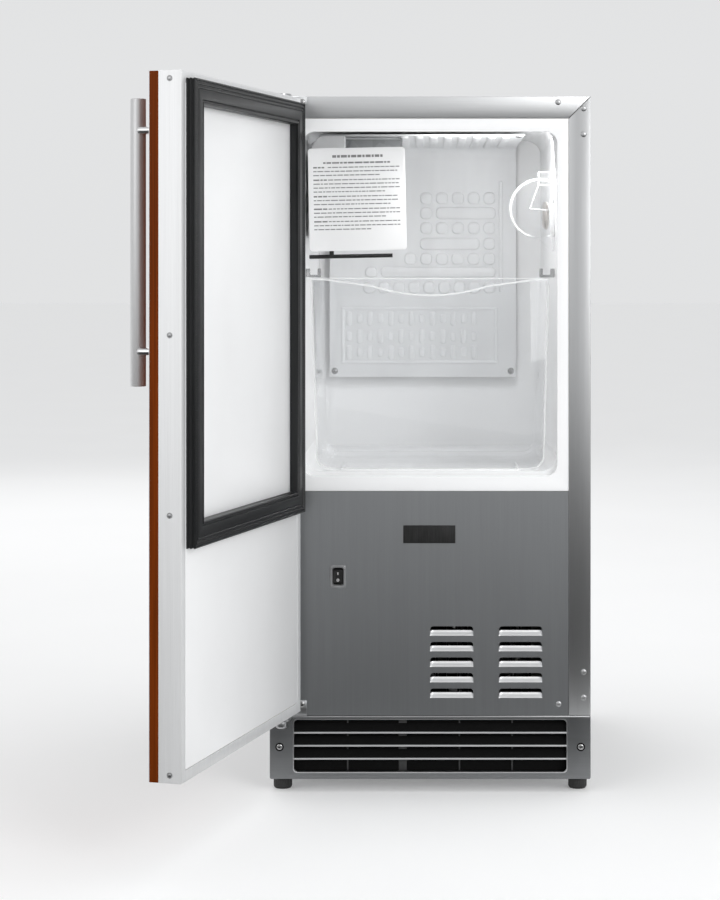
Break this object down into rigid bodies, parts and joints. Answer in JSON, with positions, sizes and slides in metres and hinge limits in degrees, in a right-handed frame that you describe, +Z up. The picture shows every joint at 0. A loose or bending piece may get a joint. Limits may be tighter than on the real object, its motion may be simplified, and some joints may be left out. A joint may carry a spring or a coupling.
{
  "type": "built-in ice maker",
  "caption": "Under-counter ice maker with a side-hinged overlay door standing open, a clear ice bin, an ice-making module with shut-off arm, louvred front and kick plate.",
  "frame": {"origin": "on the floor, at the middle of the footprint of the machine with its door open", "axes": "+X to the right across the front, +Y from the front towards the back, +Z up"},
  "size_m": [0.4974, 0.8564, 0.8192],
  "materials": {
    "brushed_steel": "satin",
    "dark_steel": "satin",
    "zinc_plate": "satin",
    "white_plastic": "gloss",
    "clear_plastic": "gloss",
    "black_plastic": "satin",
    "gasket_rubber": "satin",
    "insulating_foam": "matte",
    "aluminium": "satin",
    "cherry_wood": "satin",
    "copper": "satin",
    "black_paint": "satin"
  },
  "bodies": {
    "cabinet": {"cabinet_shell": "dark_steel", "back_panel": "zinc_plate", "rear_cover": "zinc_plate", "base_pan": "zinc_plate", "foam_core": "insulating_foam", "liner": "white_plastic", "top_rail": "brushed_steel", "left_rail": "brushed_steel", "right_rail": "brushed_steel", "front_panel": "brushed_steel", "name_badge": "black_plastic", "switch_bezel": "black_plastic", "kick_plate": "dark_steel", "kick_screw_left": "brushed_steel", "kick_screw_right": "brushed_steel", "evaporator_plate": "aluminium", "bin_clip_left": "clear_plastic", "bin_clip_right": "clear_plastic", "thermostat_guard": "clear_plastic", "thermostat_bulb": "copper", "icemaker_cover": "white_plastic", "icemaker_housing": "white_plastic", "icemaker_mold": "aluminium", "stripper_comb": "white_plastic", "module_bracket": "zinc_plate", "fill_cup": "white_plastic", "fill_tube": "white_plastic", "compressor": "black_paint", "relay_box": "black_plastic", "condenser": "aluminium", "fan_shroud": "black_plastic", "fan_motor": "black_paint", "drip_tray": "black_plastic", "water_valve": "white_plastic", "filter_drier": "copper", "power_inlet": "black_plastic", "hinge_bracket_top": "brushed_steel", "hinge_bracket_bottom": "brushed_steel", "hinge_pin_top": "zinc_plate", "hinge_pin_bottom": "zinc_plate"},
    "door": {"door_frame": "brushed_steel", "door_foam": "insulating_foam", "door_liner": "white_plastic", "door_gasket": "gasket_rubber", "wood_panel": "cherry_wood", "handle_bar": "brushed_steel", "handle_post_upper": "brushed_steel", "handle_post_lower": "brushed_steel", "hinge_bush_top": "white_plastic", "hinge_bush_bottom": "white_plastic"},
    "ice_bin": {"ice_bin": "clear_plastic"},
    "shutoff_arm": {"shutoff_arm": "black_plastic"},
    "ejector": {"ejector_rake": "black_plastic"},
    "rocker": {"rocker_switch": "black_plastic"},
    "fan": {"fan_blade": "black_plastic"},
    "foot_front_left": {"foot_front_left": "black_plastic"},
    "foot_front_right": {"foot_front_right": "black_plastic"},
    "foot_rear_left": {"foot_rear_left": "black_plastic"},
    "foot_rear_right": {"foot_rear_right": "black_plastic"}
  },
  "joints": [
    {"name": "door_hinge", "type": "hinge", "parent": "cabinet", "child": "door", "pos_m": [-0.11328, -0.07384, 0.45], "axis": [0, 0, -1], "range_deg": [-105, 10]},
    {"name": "bin_slide", "type": "slide", "parent": "cabinet", "child": "ice_bin", "axis": [0, -1, 0], "range_m": [0, 0.24]},
    {"name": "arm_swing", "type": "hinge", "parent": "cabinet", "child": "shutoff_arm", "pos_m": [-0.05848, 0.01116, 0.6998], "axis": [1, 0, 0], "range_deg": [0, 38]},
    {"name": "ejector_turn", "type": "hinge", "parent": "cabinet", "child": "ejector", "pos_m": [-0.05248, 0.06816, 0.7058], "axis": [1, 0, 0], "continuous": true},
    {"name": "rocker_tilt", "type": "hinge", "parent": "cabinet", "child": "rocker", "pos_m": [-0.04888, -0.04184, 0.2538], "axis": [-1, 0, 0], "range_deg": [0, 14]},
    {"name": "fan_turn", "type": "hinge", "parent": "cabinet", "child": "fan", "pos_m": [0.11172, 0.10616, 0.15], "axis": [0, 1, 0], "continuous": true},
    {"name": "foot_front_left_screw", "type": "hinge", "parent": "cabinet", "child": "foot_front_left", "pos_m": [-0.11528, -0.01884, 0.01], "axis": [0, 0, 1], "continuous": true},
    {"name": "foot_front_right_screw", "type": "hinge", "parent": "cabinet", "child": "foot_front_right", "pos_m": [0.23472, -0.01884, 0.01], "axis": [0, 0, 1], "continuous": true},
    {"name": "foot_rear_left_screw", "type": "hinge", "parent": "cabinet", "child": "foot_rear_left", "pos_m": [-0.11528, 0.39116, 0.01], "axis": [0, 0, 1], "continuous": true},
    {"name": "foot_rear_right_screw", "type": "hinge", "parent": "cabinet", "child": "foot_rear_right", "pos_m": [0.23472, 0.39116, 0.01], "axis": [0, 0, 1], "continuous": true}
  ]
}
